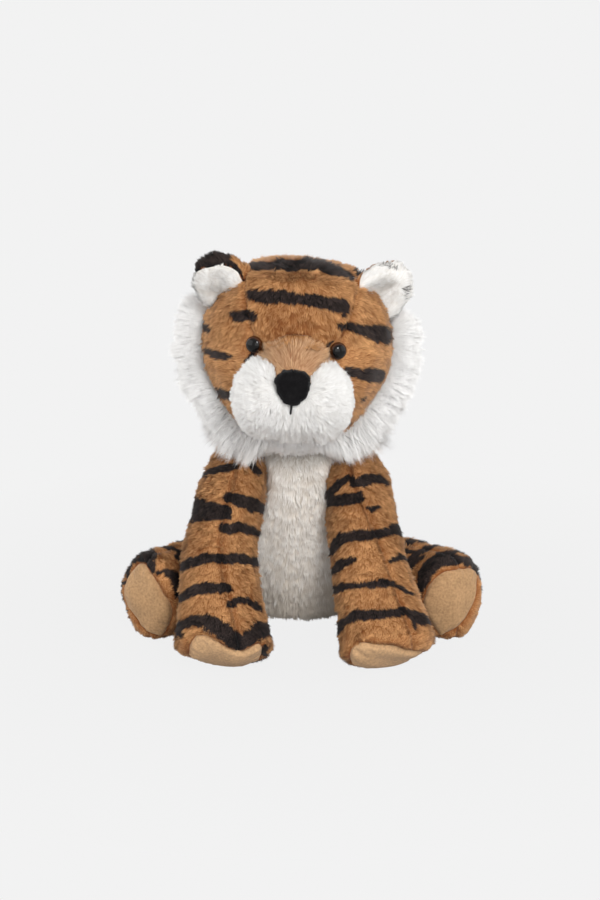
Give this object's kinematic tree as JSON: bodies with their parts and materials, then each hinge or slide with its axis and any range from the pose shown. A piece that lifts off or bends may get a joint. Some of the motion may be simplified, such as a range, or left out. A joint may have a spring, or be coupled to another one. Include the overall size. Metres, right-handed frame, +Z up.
{
  "type": "plush tiger",
  "caption": "Sitting plush tiger with striped pile panels, white ruff and muzzle, suede paw pads, safety eyes, and limbs, head, ears and tail that turn on their sewn seams.",
  "frame": {"origin": "middle of the flat under the body, on the surface that the toy sits on", "axes": "+Z up, the toy faces -Y, +X to the right as seen from the front"},
  "size_m": [0.2488, 0.3086, 0.2692],
  "materials": {
    "striped_pile": "short dense pile, orange brown with black stripes",
    "white_pile": "soft white pile, long on the ruff",
    "belly_pile": "cream pile, brushed flat",
    "bridge_pile": "longer light brown pile",
    "suede": "tan suede cloth",
    "nose_flock": "black flock",
    "thread": "black embroidery thread",
    "eye": "polished dark brown dome",
    "washer": "moulded plastic",
    "fibre": "loose polyester fibre",
    "pellets": "plastic pellets in a muslin bag"
  },
  "bodies": {
    "torso": {"belly_panel_left": "belly_pile", "belly_panel_right": "belly_pile", "back_panel_left": "striped_pile", "back_panel_right": "striped_pile", "torso_filling": "fibre", "seat_pellet_bag": "pellets"},
    "neck": {"neck_plug": "fibre"},
    "head": {"head_gusset": "striped_pile", "head_side_left": "striped_pile", "head_side_right": "striped_pile", "head_filling": "fibre", "muzzle": "white_pile", "nose_bridge": "bridge_pile", "nose": "nose_flock", "mouth_thread": "thread", "eye_left": "eye", "eye_right": "eye", "eye_washer_left": "washer", "eye_washer_right": "washer", "ruff": "white_pile"},
    "ear_left": {"ear_left_back": "striped_pile", "ear_left_lining": "white_pile"},
    "ear_right": {"ear_right_back": "striped_pile", "ear_right_lining": "white_pile"},
    "arm_left": {"arm_left_outer_panel": "striped_pile", "arm_left_inner_panel": "striped_pile", "arm_left_pad": "suede", "arm_left_filling": "fibre", "arm_left_pellet_bag": "pellets"},
    "arm_right": {"arm_right_outer_panel": "striped_pile", "arm_right_inner_panel": "striped_pile", "arm_right_pad": "suede", "arm_right_filling": "fibre", "arm_right_pellet_bag": "pellets"},
    "leg_left": {"leg_left_outer_panel": "striped_pile", "leg_left_inner_panel": "striped_pile", "leg_left_pad": "suede", "leg_left_filling": "fibre", "leg_left_pellet_bag": "pellets"},
    "leg_right": {"leg_right_outer_panel": "striped_pile", "leg_right_inner_panel": "striped_pile", "leg_right_pad": "suede", "leg_right_filling": "fibre", "leg_right_pellet_bag": "pellets"},
    "tail": {"tail_skin": "striped_pile", "tail_filling": "fibre"}
  },
  "joints": [
    {"name": "head_turn", "type": "hinge", "parent": "torso", "child": "neck", "pos_m": [-0.004, -0.008, 0.137], "axis": [0, 0, 1], "range_deg": [-25, 25], "stiffness_Nm_per_rad": 0.6},
    {"name": "head_nod", "type": "hinge", "parent": "neck", "child": "head", "pos_m": [-0.004, -0.008, 0.137], "axis": [-1, 0, 0], "range_deg": [-8, 10], "stiffness_Nm_per_rad": 2.5},
    {"name": "ear_left_flop", "type": "hinge", "parent": "head", "child": "ear_left", "pos_m": [-0.04155, -0.03087, 0.23647], "axis": [0.7769, -0.0191, 0.6293], "range_deg": [-8, 12], "stiffness_Nm_per_rad": 0.05},
    {"name": "ear_right_flop", "type": "hinge", "parent": "head", "child": "ear_right", "pos_m": [0.04413, -0.03312, 0.23048], "axis": [0.6817, -0.0191, -0.7313], "range_deg": [-8, 12], "stiffness_Nm_per_rad": 0.05},
    {"name": "arm_left_lift", "type": "hinge", "parent": "torso", "child": "arm_left", "pos_m": [-0.043, -0.016, 0.113], "axis": [-1, 0, 0], "range_deg": [0, 40]},
    {"name": "arm_right_lift", "type": "hinge", "parent": "torso", "child": "arm_right", "pos_m": [0.043, -0.016, 0.113], "axis": [-1, 0, 0], "range_deg": [0, 40]},
    {"name": "leg_left_spread", "type": "hinge", "parent": "torso", "child": "leg_left", "pos_m": [-0.043, 0.002, 0.0285], "axis": [0, 0, -1], "range_deg": [0, 25]},
    {"name": "leg_right_spread", "type": "hinge", "parent": "torso", "child": "leg_right", "pos_m": [0.043, 0.002, 0.0285], "axis": [0, 0, 1], "range_deg": [0, 25]},
    {"name": "tail_swing", "type": "hinge", "parent": "torso", "child": "tail", "pos_m": [0, 0.047, 0.011], "axis": [0, 0, 1], "range_deg": [-20, 20]}
  ]
}
